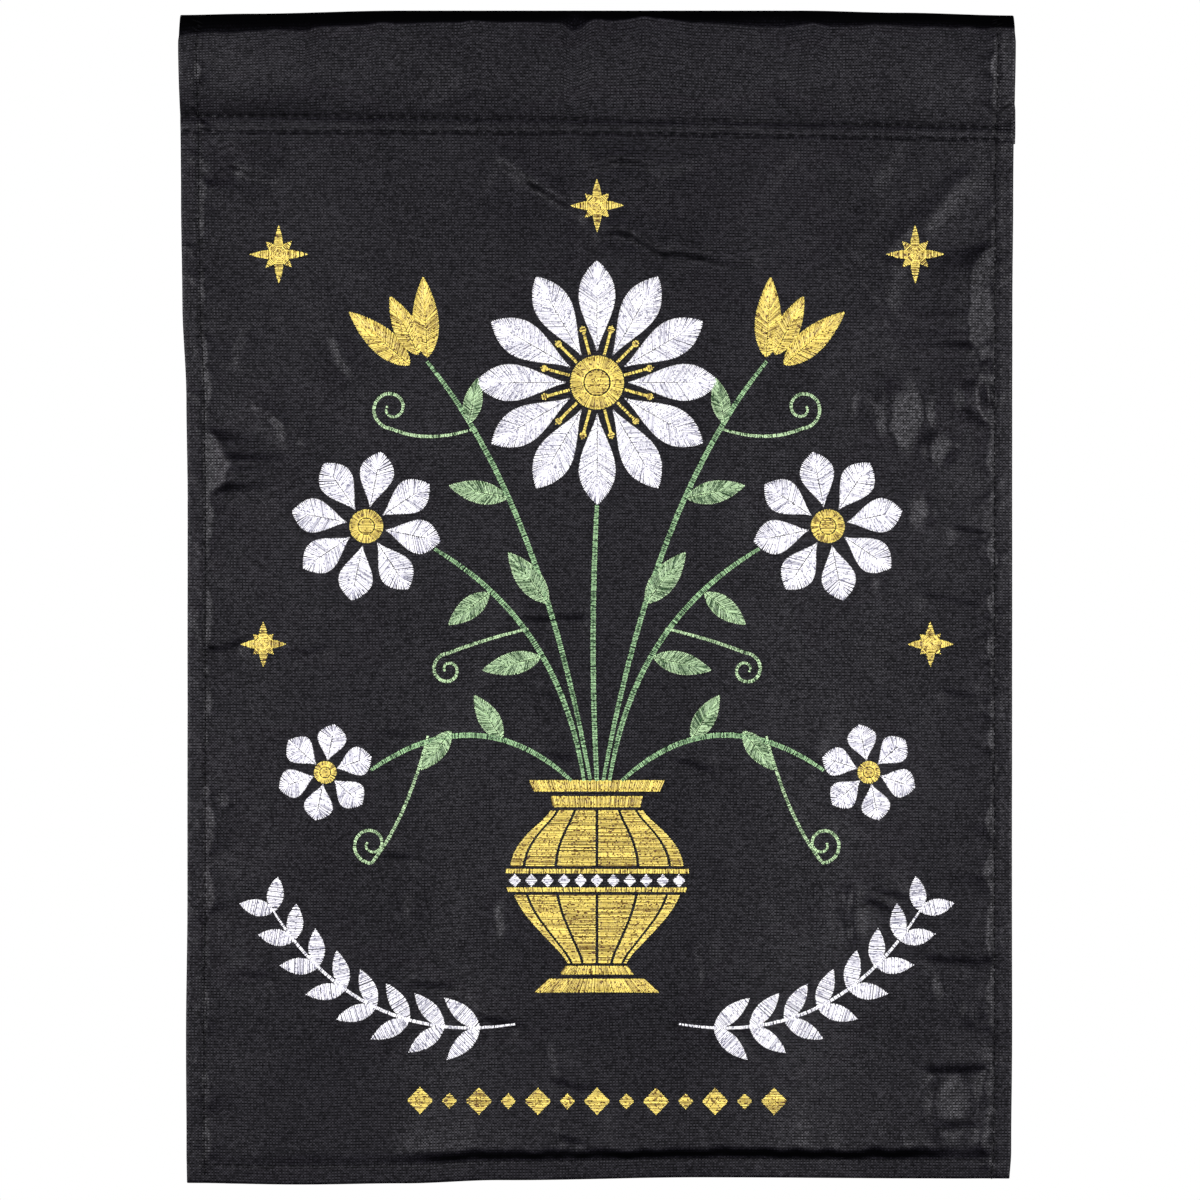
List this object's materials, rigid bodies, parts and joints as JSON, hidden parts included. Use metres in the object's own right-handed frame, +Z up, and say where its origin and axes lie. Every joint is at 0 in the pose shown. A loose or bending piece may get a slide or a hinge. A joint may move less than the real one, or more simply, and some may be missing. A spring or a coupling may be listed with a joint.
{
  "type": "embroidered house flag of the small garden size",
  "caption": "Upright dark cloth flag with turned hems and an open pole sleeve along its top edge; its front carries embroidery.",
  "frame": {"origin": "middle of the top edge of the pole sleeve, midway between its front and back layers", "axes": "+X across the flag to the right as seen from the front, -Y out of the embroidered front, +Z up, away from the hem"},
  "size_m": [0.3254, 0.012, 0.4574],
  "materials": {
    "panel_cloth": "charcoal-black plain-woven polyester with a slight gloss",
    "sleeve_cloth": "the same charcoal-black plain-woven polyester, doubled",
    "white_thread": "glossy white embroidery thread in satin stitch",
    "gold_thread": "glossy gold embroidery thread in satin stitch",
    "green_thread": "glossy light green embroidery thread in narrow satin stitch",
    "sewing_thread": "matt black sewing thread"
  },
  "bodies": {
    "root": {"flag_panel": "panel_cloth", "pole_sleeve": "sleeve_cloth"}
  },
  "joints": []
}
